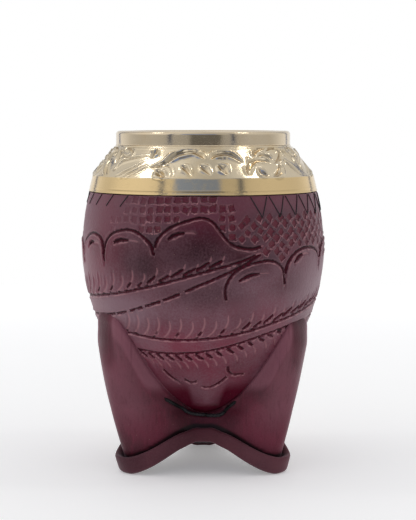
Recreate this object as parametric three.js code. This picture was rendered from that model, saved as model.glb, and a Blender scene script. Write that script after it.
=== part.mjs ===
// A mate cup: a calabash gourd in a leather jacket, with a spun brass collar and
// a brass mouth ring at the top and a leather skirt with three feet below.
// Millimetres, +Z up. The cup's axis is Z, the floor is z = 0 and the front faces -Y.
import * as THREE from 'three';

// Heights, each one measured up from the one before it
const ARCH_RISE = 11.5;
const WELT_HEIGHT = 6;
const STITCH_RISE = 3.2;
const NOTCH_MARGIN = 0.7;
const LEG_RISE = 34.2;

// The jacket hangs this far down inside the skirt's notch, and the rest stands on it
const JACKET_DIP = 4.7;
const BELLY_RISE = 60.6;
const COLLAR_RISE = 18.8;
const COLLAR_HEIGHT = 15.6;
const RING_HEIGHT = 4.5;

// Mouth ring and collar; the collar's lower edge stands in from the jacket's widest line
const RING_RADIUS = 30;
const RING_WALL = 1.3;
const RING_WEB = 1.2;
const RING_ROUND = 1.1;
const SLEEVE_WALL = 1;
const SLEEVE_LENGTH = 11;
const COLLAR_INSET = 2.6;
const COLLAR_SHEET = 0.9;
const BAND_HEIGHT = 5.3;
const BAND_TAPER = 1.3;
const SHOULDER_CROWN = 0.9;

// Gourd and jacket
const BELLY_RADIUS = 42;
const BELLY_FULLNESS = 0.5;
const TIP_FULLNESS = 0.46;
const JACKET_WALL = 2.2;
const JACKET_PROUD = 0.1;
const NECK_EASE = 1;
const GOURD_WALL = 5;
const GOURD_LIP = 2.6;

// Skirt with its three legs, seen from above as a trefoil
const LEG_COUNT = 3;
const LEG_HALF_ANGLE = THREE.MathUtils.degToRad(21.3);
const LEG_EDGE_POWER = 4.5;
const LEG_ROUND = THREE.MathUtils.degToRad(14);
const FOOT_RADIUS = 28.7;
const FOOT_FLAT = THREE.MathUtils.degToRad(4);
const ARCH_FLAT = THREE.MathUtils.degToRad(6);
const ARCH_POWER = 1.4;
const VALLEY_START = THREE.MathUtils.degToRad(36);
const DRAPE_DEPTH = 9;
const WAIST_MARGIN = 0.9;
const WAIST_DRAW = 0.05;
const SKIRT_WALL = 2.2;
const SKIRT_EDGE = 0.8;
const SKIVE_WIDTH = 3;
const SKIRT_LIFT = 0.6;

// Welt, a strip round the skirt's lower edge that the cup stands on
const WELT_WALL = 3;
const WELT_ROUND = 1.1;
const WELT_PARING = 0.22;
const PARING_START = THREE.MathUtils.degToRad(20);

// Threads
const STITCH_THREAD = 1;
const STITCH_HALF_ANGLE = THREE.MathUtils.degToRad(33);
const STITCH_SMILE = 5;
const STITCH_POWER = 2.4;
const LACE_THREAD = 0.56;
const LACE_DROP = 6.2;
const LACE_START = THREE.MathUtils.degToRad(23.5);
const LACE_PITCH = THREE.MathUtils.degToRad(11.5);
const LACE_COUNT = 10;

// Room between neighbours, and how finely round shapes are cut
const SEAT_GAP = 0.3;
const ROUND_SEGMENTS = 44;
const BELLY_SEGMENTS = 9;
const NECK_SEGMENTS = 3;
const LOOKUP_FINENESS = 20;
const EDGE_SEGMENTS = 3;
const LEG_COLUMNS = 34;
const COLUMN_CROWDING = 1.35;
const SKIVE_ROWS = 3;
const SKIRT_ROWS = 4;
const THREAD_SIDES = 5;
const STITCH_STEPS = 16;
const LACE_STEPS_PER_TURN = 8;

// Places that follow from these sizes
const stitchZ = ARCH_RISE + WELT_HEIGHT + STITCH_RISE;
const notchZ = stitchZ + NOTCH_MARGIN;
const waistZ = notchZ + WAIST_MARGIN;
const crownZ = notchZ + LEG_RISE;
const tipZ = notchZ - JACKET_DIP;
const bellyZ = tipZ + BELLY_RISE;
const collarZ = bellyZ + COLLAR_RISE;
const ledgeZ = collarZ - SEAT_GAP;
const bandZ = collarZ + BAND_HEIGHT;
const collarTopZ = collarZ + COLLAR_HEIGHT;
const ringZ = collarTopZ + SEAT_GAP;
const rimZ = ringZ + RING_HEIGHT;
const collarRadius = BELLY_RADIUS - COLLAR_INSET;
const legStep = 2 * Math.PI / LEG_COUNT;

const leatherLook = new THREE.MeshStandardMaterial({ color: 0x5a2d3a, roughness: 0.55 });
const brassLook = new THREE.MeshStandardMaterial({ color: 0xc8af7d, roughness: 0.22, metalness: 1 });
const gourdLook = new THREE.MeshStandardMaterial({ color: 0xb98d55, roughness: 0.8 });
const threadLook = new THREE.MeshStandardMaterial({ color: 0x1b1a1c, roughness: 0.85 });

// A point at a radius and height, its angle counted from the front towards +X
function polar(radius, angle, z) {
  return new THREE.Vector3(radius * Math.sin(angle), -radius * Math.cos(angle), z);
}

// The jacket's visible outline from its lowest point to the ledge under the collar
function jacketOutline(bellySegments, neckSegments) {
  const belly = new THREE.CubicBezierCurve(
    new THREE.Vector2(0, tipZ),
    new THREE.Vector2(BELLY_RADIUS * TIP_FULLNESS, tipZ),
    new THREE.Vector2(BELLY_RADIUS, bellyZ - BELLY_RISE * BELLY_FULLNESS),
    new THREE.Vector2(BELLY_RADIUS, bellyZ),
  );
  const neck = new THREE.QuadraticBezierCurve(
    new THREE.Vector2(BELLY_RADIUS, bellyZ),
    new THREE.Vector2(BELLY_RADIUS, (bellyZ + ledgeZ) / 2),
    new THREE.Vector2(collarRadius + JACKET_PROUD, ledgeZ),
  );
  return [...belly.getPoints(bellySegments), ...neck.getPoints(neckSegments).slice(1)];
}

const fineOutline = jacketOutline(LOOKUP_FINENESS * BELLY_SEGMENTS, LOOKUP_FINENESS * NECK_SEGMENTS);

function jacketRadius(z) {
  const above = fineOutline.findIndex((point) => point.y >= z);
  if (above < 1) {
    return above === 0 ? 0 : fineOutline.at(-1).x;
  }
  const low = fineOutline[above - 1];
  const high = fineOutline[above];
  return THREE.MathUtils.mapLinear(z, low.y, high.y, low.x, high.x);
}

// The same outline moved inwards, square to itself
function insetOutline(points, depth) {
  return points.map((point, index) => {
    if (index === 0) {
      return new THREE.Vector2(0, point.y + depth);
    }
    const ahead = points[Math.min(index + 1, points.length - 1)];
    const along = ahead.clone().sub(points[index - 1]).normalize();
    return new THREE.Vector2(point.x - along.y * depth, point.y + along.x * depth);
  });
}

// Outside of the jacket's neck, which stands inside the collar's band
function neckRadius(z) {
  const taper = BAND_TAPER * (z - collarZ) / BAND_HEIGHT;
  return collarRadius - taper - COLLAR_SHEET - SEAT_GAP;
}

// A profile turned round the cup's upright axis
function lathe(points) {
  return new THREE.LatheGeometry(points, ROUND_SEGMENTS).rotateX(Math.PI / 2);
}

const outline = jacketOutline(BELLY_SEGMENTS, NECK_SEGMENTS);
const neckStartZ = ledgeZ + NECK_EASE;
const neckEndZ = bandZ - SEAT_GAP;

function jacketGeometry() {
  const neckOuter = [
    new THREE.Vector2(neckRadius(ledgeZ), ledgeZ),
    new THREE.Vector2(neckRadius(neckEndZ), neckEndZ),
  ];
  const neckInner = [
    new THREE.Vector2(neckRadius(neckEndZ) - JACKET_WALL, neckEndZ),
    new THREE.Vector2(neckRadius(neckStartZ) - JACKET_WALL, neckStartZ),
  ];
  const inner = insetOutline(outline, JACKET_WALL).reverse();
  return lathe([...outline, ...neckOuter, ...neckInner, ...inner]);
}

const lipRadius = RING_RADIUS - RING_WALL - SEAT_GAP;
const lipInnerRadius = lipRadius - GOURD_LIP;
const lipZ = rimZ - RING_WEB - SEAT_GAP;
const sleeveRadius = lipInnerRadius - SEAT_GAP;
const sleeveZ = rimZ - SLEEVE_LENGTH;

function gourdGeometry() {
  const skin = JACKET_WALL + SEAT_GAP;
  const neckOuter = [
    new THREE.Vector2(neckRadius(neckStartZ) - skin, neckStartZ),
    new THREE.Vector2(neckRadius(neckEndZ) - skin, neckEndZ),
    new THREE.Vector2(lipRadius, ringZ - RING_WALL),
    new THREE.Vector2(lipRadius, lipZ),
  ];
  const neckInner = [
    new THREE.Vector2(lipInnerRadius, lipZ),
    new THREE.Vector2(lipInnerRadius, sleeveZ - NECK_EASE),
  ];
  const inner = insetOutline(outline, skin + GOURD_WALL).reverse();
  return lathe([...insetOutline(outline, skin), ...neckOuter, ...neckInner, ...inner]);
}

function collarGeometry() {
  const side = (bandInset, topInset) => {
    const band = new THREE.Vector2(collarRadius - BAND_TAPER - bandInset, bandZ);
    const top = new THREE.Vector2(RING_RADIUS - topInset, collarTopZ);
    const crown = band.clone().add(top).multiplyScalar(0.5).addScalar(SHOULDER_CROWN);
    const shoulder = new THREE.QuadraticBezierCurve(band, crown, top);
    const edge = new THREE.Vector2(collarRadius - bandInset, collarZ);
    return [edge, ...shoulder.getPoints(2 * EDGE_SEGMENTS)];
  };
  const outer = side(0, 0);
  return lathe([...outer, ...side(COLLAR_SHEET, RING_WALL).reverse(), outer[0]]);
}

function ringGeometry() {
  const bore = sleeveRadius - SLEEVE_WALL;
  const wallRadius = RING_RADIUS - RING_WALL;
  const webZ = rimZ - RING_WEB;
  const section = new THREE.Path();
  section.moveTo(RING_RADIUS, ringZ);
  section.lineTo(RING_RADIUS, rimZ - RING_ROUND);
  section.absarc(RING_RADIUS - RING_ROUND, rimZ - RING_ROUND, RING_ROUND, 0, Math.PI / 2);
  section.lineTo(bore + RING_ROUND, rimZ);
  section.absarc(bore + RING_ROUND, rimZ - RING_ROUND, RING_ROUND, Math.PI / 2, Math.PI);
  section.lineTo(bore, sleeveZ);
  section.lineTo(sleeveRadius, sleeveZ);
  section.lineTo(sleeveRadius, webZ);
  section.lineTo(wallRadius, webZ);
  section.lineTo(wallRadius, ringZ);
  section.lineTo(RING_RADIUS, ringZ);
  return lathe(section.getPoints(EDGE_SEGMENTS - 1));
}

// Angle to the middle of the nearest leg; the front lies between two legs
function legAngle(angle) {
  return Math.abs(THREE.MathUtils.euclideanModulo(angle, legStep) - legStep / 2);
}

function skirtTop(angle) {
  return notchZ + LEG_RISE / (1 + (legAngle(angle) / LEG_HALF_ANGLE) ** LEG_EDGE_POWER);
}

// Lower edge of the welt: flat under each foot, arched between two feet and flat at the arch's top
function weltZ(angle) {
  const share = (legAngle(angle) - FOOT_FLAT) / (legStep / 2 - FOOT_FLAT - ARCH_FLAT);
  return ARCH_RISE * Math.sin(THREE.MathUtils.clamp(share, 0, 1) * Math.PI / 2) ** ARCH_POWER;
}

// Inside of the skirt where it lies on the jacket, and where it is drawn in below that
function seatRadius(z) {
  return jacketRadius(Math.max(z, waistZ)) + SEAT_GAP - WAIST_DRAW * Math.max(waistZ - z, 0);
}

// Leather is thinned towards the skirt's upper edge
function skirtWall(angle, z) {
  const skive = THREE.MathUtils.clamp((skirtTop(angle) - z) / SKIVE_WIDTH, 0, 1);
  return THREE.MathUtils.lerp(SKIRT_EDGE, SKIRT_WALL, skive);
}

// Outside of the skirt: its sides run straight from a leg's ridge to the jacket
function skirtRadius(angle, z) {
  const round = seatRadius(z) + skirtWall(angle, z);
  const crownRadius = jacketRadius(crownZ) + SEAT_GAP + SKIRT_EDGE;
  const ridge = FOOT_RADIUS + (crownRadius - FOOT_RADIUS) * Math.sin(z / crownZ * Math.PI / 2);
  const touch = Math.acos(Math.min(round / ridge, 1)) + LEG_ROUND;
  const away = Math.hypot(legAngle(angle), LEG_ROUND);
  const flank = round / Math.cos(Math.max(touch - away, 0));
  const drape = THREE.MathUtils.smoothstep(skirtTop(angle) - z, 0, DRAPE_DEPTH);
  const valley = THREE.MathUtils.smoothstep(legAngle(angle), VALLEY_START, legStep / 2);
  return THREE.MathUtils.lerp(round, flank, drape * (1 - valley));
}

// A point on the skirt's outside, moved level and square to the trefoil
function skirtPoint(angle, z, offset) {
  const step = legStep / LEG_COLUMNS / LOOKUP_FINENESS;
  const point = polar(skirtRadius(angle, z), angle, z);
  const ahead = polar(skirtRadius(angle + step, z), angle + step, z);
  const behind = polar(skirtRadius(angle - step, z), angle - step, z);
  const along = ahead.sub(behind).normalize();
  return point.addScaledVector(new THREE.Vector3(along.y, -along.x, 0), offset);
}

// Columns crowd together on the legs, where the shape turns fastest
function columnAngles() {
  const angles = [];
  for (let leg = 0; leg < LEG_COUNT; leg += 1) {
    for (let column = 0; column < LEG_COLUMNS; column += 1) {
      const share = 2 * column / LEG_COLUMNS - 1;
      const bent = Math.sign(share) * Math.abs(share) ** COLUMN_CROWDING;
      angles.push(legStep * (leg + 0.5 + bent / 2));
    }
  }
  return angles;
}

// A closed band round the axis, from one closed section at each column
function bandGeometry(sectionAt) {
  const sections = columnAngles().map(sectionAt);
  const count = sections[0].length;
  const index = [];
  sections.forEach((section, column) => {
    const here = column * count;
    const next = ((column + 1) % sections.length) * count;
    section.forEach((point, side) => {
      const other = (side + 1) % count;
      index.push(here + side, here + other, next + side);
      index.push(next + side, here + other, next + other);
    });
  });
  const geometry = new THREE.BufferGeometry().setFromPoints(sections.flat());
  geometry.setIndex(index);
  geometry.computeVertexNormals();
  return geometry;
}

// Rows down the skirt: close together on the thinned strip, then in even steps
function skirtRows(angle) {
  const top = skirtTop(angle);
  const bottom = weltZ(angle) + SKIRT_LIFT;
  const rows = [];
  for (let row = 0; row < SKIVE_ROWS; row += 1) {
    rows.push(top - SKIVE_WIDTH * row / SKIVE_ROWS);
  }
  for (let row = 0; row <= SKIRT_ROWS; row += 1) {
    rows.push(THREE.MathUtils.lerp(top - SKIVE_WIDTH, bottom, row / SKIRT_ROWS));
  }
  return rows;
}

function skirtSection(angle) {
  const rows = skirtRows(angle);
  const outer = rows.map((z) => skirtPoint(angle, z, 0));
  const inner = rows.map((z) => skirtPoint(angle, z, -skirtWall(angle, z)));
  return [...outer, ...inner.reverse()];
}

// The strip is pared lower where it arches between two feet
function weltSection(angle) {
  const bottom = weltZ(angle);
  const paring = WELT_PARING * THREE.MathUtils.smoothstep(legAngle(angle), PARING_START, legStep / 2);
  const height = WELT_HEIGHT * (1 - paring);
  const corners = [
    [WELT_WALL - WELT_ROUND, height],
    [WELT_WALL, height - WELT_ROUND],
    [WELT_WALL, WELT_ROUND],
    [WELT_WALL - WELT_ROUND, 0],
    [0, 0],
    [0, height / 2],
    [0, height],
  ];
  return corners.map(([out, up]) => skirtPoint(angle, bottom + up, SEAT_GAP + out));
}

// A thread's route, given as a place for each share of its length
class ThreadCurve extends THREE.Curve {
  constructor(placeAt) {
    super();
    this.placeAt = placeAt;
  }

  getPoint(share, target = new THREE.Vector3()) {
    return target.copy(this.placeAt(share));
  }
}

function threadGeometry(placeAt, diameter, steps) {
  const corners = [];
  for (let side = 0; side < THREAD_SIDES; side += 1) {
    const turn = 2 * Math.PI * side / THREAD_SIDES;
    corners.push(new THREE.Vector2(Math.cos(turn), Math.sin(turn)).multiplyScalar(diameter / 2));
  }
  const extrudePath = new ThreadCurve(placeAt);
  return new THREE.ExtrudeGeometry(new THREE.Shape(corners), { steps, extrudePath });
}

// A stitch draws the skirt tight between two legs, in a curve that rises at both ends
function stitchPlace(share) {
  const side = 2 * share - 1;
  const z = stitchZ + STITCH_SMILE * Math.abs(side) ** STITCH_POWER;
  return skirtPoint(side * STITCH_HALF_ANGLE, z, SEAT_GAP + STITCH_THREAD / 2);
}

// The lace runs up and down below the collar's edge
function lacePlace(share) {
  const turns = share * LACE_COUNT;
  const top = ledgeZ - LACE_THREAD / 2;
  const z = top - LACE_DROP * (1 - Math.cos(2 * Math.PI * turns)) / 2;
  return polar(jacketRadius(z) + SEAT_GAP + LACE_THREAD / 2, LACE_START + turns * LACE_PITCH, z);
}

const cup = new THREE.Group();

function place(name, geometry, look) {
  const mesh = new THREE.Mesh(geometry, look);
  mesh.name = name;
  cup.add(mesh);
  return mesh;
}

place('gourd_shell', gourdGeometry(), gourdLook);
place('leather_jacket', jacketGeometry(), leatherLook);
place('brass_collar', collarGeometry(), brassLook);
place('mouth_ring', ringGeometry(), brassLook);
place('base_skirt', bandGeometry(skirtSection), leatherLook);
place('base_welt', bandGeometry(weltSection), leatherLook);

['neck_lace_right', 'neck_lace_left'].forEach((name, half) => {
  const steps = LACE_COUNT * LACE_STEPS_PER_TURN;
  const lace = place(name, threadGeometry(lacePlace, LACE_THREAD, steps), threadLook);
  lace.rotation.z = half * Math.PI;
});

['front_stitch', 'right_stitch', 'left_stitch'].forEach((name, side) => {
  const geometry = threadGeometry(stitchPlace, STITCH_THREAD, STITCH_STEPS);
  place(name, geometry, threadLook).rotation.z = side * legStep;
});

export default cup;
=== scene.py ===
"""The looks of a mate cup: a gourd in a tooled leather jacket with a brass collar, on a leather skirt.

Blender works in metres, +Z up, with the front facing -Y. Sizes here are in millimetres and angles in
degrees, counted from the front towards +X, and turn into metres where a mesh or a curve is made.
"""

import math

import bmesh
import bpy
import numpy as np
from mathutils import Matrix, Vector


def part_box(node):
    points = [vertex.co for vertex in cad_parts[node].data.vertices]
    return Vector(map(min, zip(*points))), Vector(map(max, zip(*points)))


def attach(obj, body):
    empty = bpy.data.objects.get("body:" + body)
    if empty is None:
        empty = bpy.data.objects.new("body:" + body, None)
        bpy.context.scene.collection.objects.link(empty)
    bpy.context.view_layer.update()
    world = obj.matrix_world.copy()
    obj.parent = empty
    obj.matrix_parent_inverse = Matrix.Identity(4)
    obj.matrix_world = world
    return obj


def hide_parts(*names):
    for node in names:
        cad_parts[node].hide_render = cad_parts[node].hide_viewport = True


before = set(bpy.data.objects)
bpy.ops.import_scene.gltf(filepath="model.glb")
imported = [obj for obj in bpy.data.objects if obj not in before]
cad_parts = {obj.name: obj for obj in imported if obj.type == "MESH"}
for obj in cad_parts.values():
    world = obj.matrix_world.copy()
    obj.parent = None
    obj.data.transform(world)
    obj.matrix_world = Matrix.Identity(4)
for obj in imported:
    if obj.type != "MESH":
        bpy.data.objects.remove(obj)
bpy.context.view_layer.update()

# Gourd
# A dried calabash scraped out to a wall of about 5 mm, which holds the drink.
# The jacket is moulded over it, and the mouth ring is pressed over its cut lip.
MM = 0.001
SEAT = 0.3
COLLAR_GAP = 0.1
BELLY_RISE = 60.6
BELLY_FULLNESS = 0.5
TIP_FULLNESS = 0.46
JACKET_WALL = 2.2
JACKET_PROUD = 0.1
GOURD_WALL = 5
GOURD_COLUMNS = 120


def span(node):
    """A frame node's lowest and highest corners, in millimetres."""
    low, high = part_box(node)
    return np.array(low) / MM, np.array(high) / MM


def polar(radius, angle, height):
    """Points at a radius, an angle from the front and a height."""
    turn = np.radians(angle)
    return np.stack(np.broadcast_arrays(radius * np.sin(turn), -radius * np.cos(turn), height), axis=-1)


def bezier(corners, steps):
    """A curve drawn by its corner points."""
    share = np.linspace(0, 1, steps + 1)[:, None]
    points = [np.array(corner, float) for corner in corners]
    while len(points) > 1:
        points = [start + (end - start) * share for start, end in zip(points, points[1:])]
    return points[0]


def inset(points, depth):
    """A profile that starts on the axis, moved inwards square to itself."""
    along = np.gradient(points, axis=0)
    along /= np.linalg.norm(along, axis=1, keepdims=True)
    moved = points + depth * np.stack([-along[:, 1], along[:, 0]], axis=1)
    moved[0] = 0, points[0, 1] + depth
    return moved


def ring_of(name, sections, closed=True):
    """A piece from one section at each column round the axis, with its faces pointing out."""
    columns, count = sections.shape[:2]
    low = np.arange(count if closed else count - 1)[None, :]
    high = (low + 1) % count
    here = np.arange(columns)[:, None] * count
    after = np.roll(here, -1, axis=0)
    faces = np.stack([here + low, here + high, after + high, after + low], axis=-1)
    mesh = bpy.data.meshes.new(name)
    mesh.from_pydata((sections.reshape(-1, 3) * MM).tolist(), [], faces.reshape(-1, 4).tolist())
    work = bmesh.new()
    work.from_mesh(mesh)
    bmesh.ops.remove_doubles(work, verts=work.verts, dist=1e-7)
    if work.calc_volume(signed=True) < 0:
        bmesh.ops.reverse_faces(work, faces=work.faces)
    work.to_mesh(mesh)
    work.free()
    mesh.shade_smooth()
    mesh.set_sharp_from_angle(angle=math.radians(50))
    return place(name, mesh)


def all_round(columns):
    """The angle of each column of a piece, one below the other."""
    return np.arange(columns)[:, None] * 360 / columns


def turned(name, profile, columns, closed=False):
    return ring_of(name, polar(profile[:, 0], all_round(columns), profile[:, 1]), closed)


def place(name, data):
    piece = bpy.data.objects.new(name, data)
    bpy.context.scene.collection.objects.link(piece)
    return piece


def hand_over(piece, look, node):
    """Gives a finished piece its material and its place on the frame."""
    piece.data.materials.clear()
    piece.data.materials.append(look)
    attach(piece, "root")
    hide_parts(node)


class Wire:
    """A node's output that takes part in sums; each sum adds the maths node that it needs."""

    def __init__(self, tree, socket):
        self.tree = tree
        self.socket = socket

    def __add__(self, other):
        return calc("ADD", self, other)

    def __sub__(self, other):
        return calc("SUBTRACT", self, other)

    def __rsub__(self, other):
        return calc("SUBTRACT", other, self)

    def __mul__(self, other):
        return calc("MULTIPLY", self, other)

    def __truediv__(self, other):
        return calc("DIVIDE", self, other)

    def __rtruediv__(self, other):
        return calc("DIVIDE", other, self)


def join(node, inputs):
    """Sets a node's inputs, each of them to a value or to a wire."""
    for key, value in inputs.items():
        if isinstance(value, Wire):
            value.tree.links.new(value.socket, node.inputs[key])
        else:
            node.inputs[key].default_value = value


def put(tree, kind, inputs=None, **settings):
    """A new node with its inputs and settings."""
    made = tree.nodes.new(kind)
    for name, value in settings.items():
        setattr(made, name, value)
    join(made, inputs or {})
    return made


def add(tree, kind, inputs=None, out=0, **settings):
    """A new node's output, as a wire."""
    return Wire(tree, put(tree, kind, inputs, **settings).outputs[out])


def tree_of(values):
    return next(value.tree for value in values if isinstance(value, Wire))


def calc(operation, *values):
    return add(tree_of(values), "ShaderNodeMath", dict(enumerate(values)), operation=operation)


def ease(value, start, end, low=0.0, high=1.0):
    """A wire that goes smoothly from low to high as another goes from start to end."""
    sizes = dict(enumerate((value, start, end, low, high)))
    return add(value.tree, "ShaderNodeMapRange", sizes, interpolation_type="SMOOTHSTEP")


def tint(share, *colours):
    """A mix of two colours, each of them red, green and blue or a wire."""
    first, second = (colour if isinstance(colour, Wire) else (*colour, 1) for colour in colours)
    return add(share.tree, "ShaderNodeMix", {0: share, 6: first, 7: second}, 2, data_type="RGBA")


def noise(where, size, detail=3.0, roughness=0.5):
    """Noise whose blotches are about size millimetres across."""
    inputs = {"Vector": where, "Scale": 1 / MM / size, "Detail": detail, "Roughness": roughness}
    return add(where.tree, "ShaderNodeTexNoise", inputs)


def object_place(tree):
    return add(tree, "ShaderNodeTexCoord", out="Object")


def stretched(tree, scale):
    """Object coordinates, scaled so that a pattern runs in streaks."""
    return add(tree, "ShaderNodeMapping", {"Vector": object_place(tree), "Scale": scale})


def bump(height, distance):
    return add(height.tree, "ShaderNodeBump", {"Height": height, "Distance": distance * MM, "Strength": 1.0})


def new_look(name):
    """A new material, its node tree and its shader."""
    look = bpy.data.materials.new(name)
    look.use_nodes = True
    return look, look.node_tree, look.node_tree.nodes["Principled BSDF"]


def gourd_look():
    look, tree, shader = new_look("scraped_gourd")
    fibre = noise(stretched(tree, (1, 1, 0.12)), 1.4, 4.0, 0.6)
    cloud = noise(object_place(tree), 16, 4.0)
    colour = tint(ease(fibre, 0.3, 0.7), (0.24, 0.125, 0.048), (0.5, 0.31, 0.145))
    join(shader, {
        "Base Color": tint(ease(cloud, 0.45, 0.72), colour, (0.17, 0.085, 0.036)),
        "Roughness": ease(fibre, 0.2, 0.8, 0.62, 0.88),
        "Specular IOR Level": 0.3,
        "Normal": bump(fibre, 0.25),
    })
    return look


jacket_low, jacket_high = span("leather_jacket")
collar_low, collar_high = span("brass_collar")
ring_low, ring_high = span("mouth_ring")
gourd_high = span("gourd_shell")[1]
belly_radius = jacket_high[0]
tip = jacket_low[2]
belly = tip + BELLY_RISE
ledge = collar_low[2] - COLLAR_GAP
outline = np.vstack([
    bezier([
        (0, tip), (belly_radius * TIP_FULLNESS, tip),
        (belly_radius, belly - BELLY_RISE * BELLY_FULLNESS), (belly_radius, belly),
    ], 120),
    bezier([
        (belly_radius, belly), (belly_radius, (belly + ledge) / 2), (collar_high[0] + JACKET_PROUD, ledge),
    ], 40)[1:],
])

BAND_HEIGHT = 5.3
BAND_TAPER = 1.3
COLLAR_SHEET = 0.9
NECK_EASE = 1
RING_WALL = 1.3
GOURD_LIP = 2.6
SLEEVE_WALL = 1
band_top = collar_low[2] + BAND_HEIGHT
neck_start = ledge + NECK_EASE
neck_end = band_top - SEAT


def neck_radius(height):
    """Outside of the jacket's neck, which stands inside the collar's band."""
    return collar_high[0] - BAND_TAPER * (height - collar_low[2]) / BAND_HEIGHT - COLLAR_SHEET - SEAT


skin = JACKET_WALL + SEAT
lip_radius = ring_high[0] - RING_WALL - SEAT
lip_bore = lip_radius - GOURD_LIP
gourd_profile = np.vstack([
    inset(outline, skin)[::4],
    [
        (neck_radius(neck_start) - skin, neck_start),
        (neck_radius(neck_end) - skin, neck_end),
        (lip_radius, ring_low[2] + SLEEVE_WALL),
        (lip_radius, gourd_high[2]),
        (lip_bore, gourd_high[2]),
        (lip_bore, ring_low[2] - NECK_EASE),
    ],
    inset(outline, skin + GOURD_WALL)[::-4],
])
gourd = turned("gourd_wall", gourd_profile, GOURD_COLUMNS)
hand_over(gourd, gourd_look(), "gourd_shell")

# Leather jacket
# One cowhide skin, dyed burgundy, stretched wet over the gourd and tooled while damp: two long leaves
# climb round it, cut with a swivel knife, and the ground above them is pressed with a square punch.
JACKET_COLUMNS = 600
LEAF_SPACING = 0.7
GROUND_SPACING = 0.42
GROUND_START = 74
HIDDEN_TIP = 20
HALF_TURN = 180
LEAF_COUNT = 2
GROUND_SINK = 0.35

# The punch's two grids: pitch, angle and height of the middle, and how far round the slanted one goes
UPRIGHT_PITCH = 3.1
UPRIGHT_MIDDLE = (0.5, 82.6)
SLANTED_PITCH = 3.05
SLANTED_MIDDLE = (50, 80)
SLANTED_REACH = (15, 98)

# No punch marks lie under the lacing
LACED_START = 14
LACED_END = 141
LACED_HEIGHT = 89

# Half widths of the knife's cuts
MIDRIB_HALF = 0.6
DASH_HALF = 0.72
TIP_HALF = 0.64
SCALLOP_HALF = 0.69
NICK_HALF = 0.86
LOWER_HALF = 0.72
ARC_HALF = 0.6
FINE_HALF = 0.46

# The leaf's two midrib lines and its scalloped upper edge, as angle and height
MIDRIB_UPPER = [(-55, 51.4), (-40, 49.8), (-20, 48.6), (0, 49), (20, 50.8), (45, 54.6), (70, 58), (95, 60),
                (120, 61.8), (140, 64), (160, 67.4), (180, 71.5), (198, 75.2), (207, 77.8)]
MIDRIB_LOWER = [(-52, 45.2), (-30, 43.8), (-8, 44), (12, 46), (35, 49.9), (55, 52.3), (80, 53.6),
                (115, 54.9), (137, 57), (160, 61.8), (180, 67.8), (198, 73.6), (207, 77.4)]
SCALLOPS = [
    [(11, 61.4), (10, 65.4), (11.5, 69), (15, 71.8), (21, 73.8), (29, 74.8), (35, 74), (39, 71.4),
     (41, 65.4)],
    [(40.5, 69.5), (41.7, 73.2), (45, 76), (50, 77.7), (56, 78.2), (62, 77.6), (67, 75.4), (70, 70)],
    [(70, 73.5), (72, 77), (77, 79.4), (86, 80.8), (95, 80.2), (101, 78.4), (104.5, 76), (105.5, 72)],
    [(105.2, 75), (107, 78.4), (111, 80.9), (117, 82.6), (123, 82.2), (127, 80), (129, 72.6)],
    [(128.8, 77), (130, 80), (132.5, 82.2), (137, 83.9), (145, 84.7), (151, 83.2), (156, 80.2), (158, 76)],
    [(158, 78.4), (159.2, 81.5), (162, 84.1), (167, 86.4), (173, 88), (179, 89), (184, 87.8), (188, 84.3),
     (192, 80.9), (197, 79.3), (203, 78.9), (208, 79.8)],
]
SCALLOP_NICKS = [((16, 68.4), (29, 70.8)), ((46, 73.4), (54, 76.3)), ((77, 75), (89, 77)),
                 ((114, 78), (121, 79.7)), ((135, 80.1), (147, 81.2)), ((164, 81.9), (174, 84.2))]

# Where one leaf's scalloped edge takes over from the other's
EDGE_START = 28

# The lower midrib line is whole at first, then cut in dashes, and whole again towards the leaf's tip
WHOLE_END = 71
DASHES = np.arange(72.5, 165, 9.75)
DASH_LENGTH = 9.7
TIP_START = 170

# Where feathers start along the leaf, and how they lie: upright and fine at 0, slanted and deep at 1
FEATHERS = np.arange(-44, 187, 5.8)
LOWER_FEATHERS = np.arange(-46, 68, 5.9)
FEATHER_PLACES = (-44, 8, 40, 80, 104, 138, 165, 205)
FEATHER_LEAN = (0, 0.1, 1, 1, 0.15, 0.1, 1, 1)

# Downward arcs cut in the leather above each of the skirt's three notches
NOTCH_ARCS = [
    [(-27, 37.8), (-22, 34.6), (-16, 31.9)],
    [(-13.5, 34.2), (-9, 33), (-4, 33.6)],
    [(15.5, 39.2), (17, 37), (21, 35.8), (30, 35.8)],
    [(-2, 31.8), (4, 31.4), (11, 32.6), (17, 35.4)],
]
NOTCH_STEP = 120
NOTCH_ANGLES = (0, NOTCH_STEP, 2 * NOTCH_STEP)

# The fold in a notch and the dips beside it
FOLD_TURN = 3
FOLD_PROUD = 1.9
FOLD_HEIGHT = 25.5
DIP_ANGLE = 21
DIP_DEPTH = 1.5
DIP_HEIGHT = 27

# Clouds of painted shade on one half of the jacket: angle, height, reach along and up, and share
SHADE_CLOUDS = [(-3, 77, 26, 9, 1), (-27, 73, 15, 7, 0.8), (18, 74, 20, 6, 0.8), (38, 85, 26, 8, 0.45),
            (0, 65, 22, 5, 0.6), (40, 67, 12, 6, 0.3)]

# A painted sheen on the leather, in clouds of the same kind
SHEEN_CLOUDS = [(60, 65, 24, 10, 0.8), (26, 63, 24, 8, 0.5), (-42, 58, 26, 4, 0.95), (-62, 72, 14, 14, 0.15)]


def flowing(points, steps=12):
    """A smooth line through the given points."""
    points = np.array(points, float)
    before = np.vstack([2 * points[0] - points[1], points[:-2]])
    after = np.vstack([points[2:], 2 * points[-1] - points[-2]])
    share = np.linspace(0, 1, steps, endpoint=False)[:, None]
    spans = []
    for start, end, lead, follow in zip(points[:-1], points[1:], before, after):
        out = (end - lead) / 2
        into = (follow - start) / 2
        bend = share**2 * (3 - 2 * share)
        lean = out * share * (1 - share) ** 2 - into * share**2 * (1 - share)
        spans.append(start + (end - start) * bend + lean)
    return np.vstack([*spans, points[-1:]])


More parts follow.
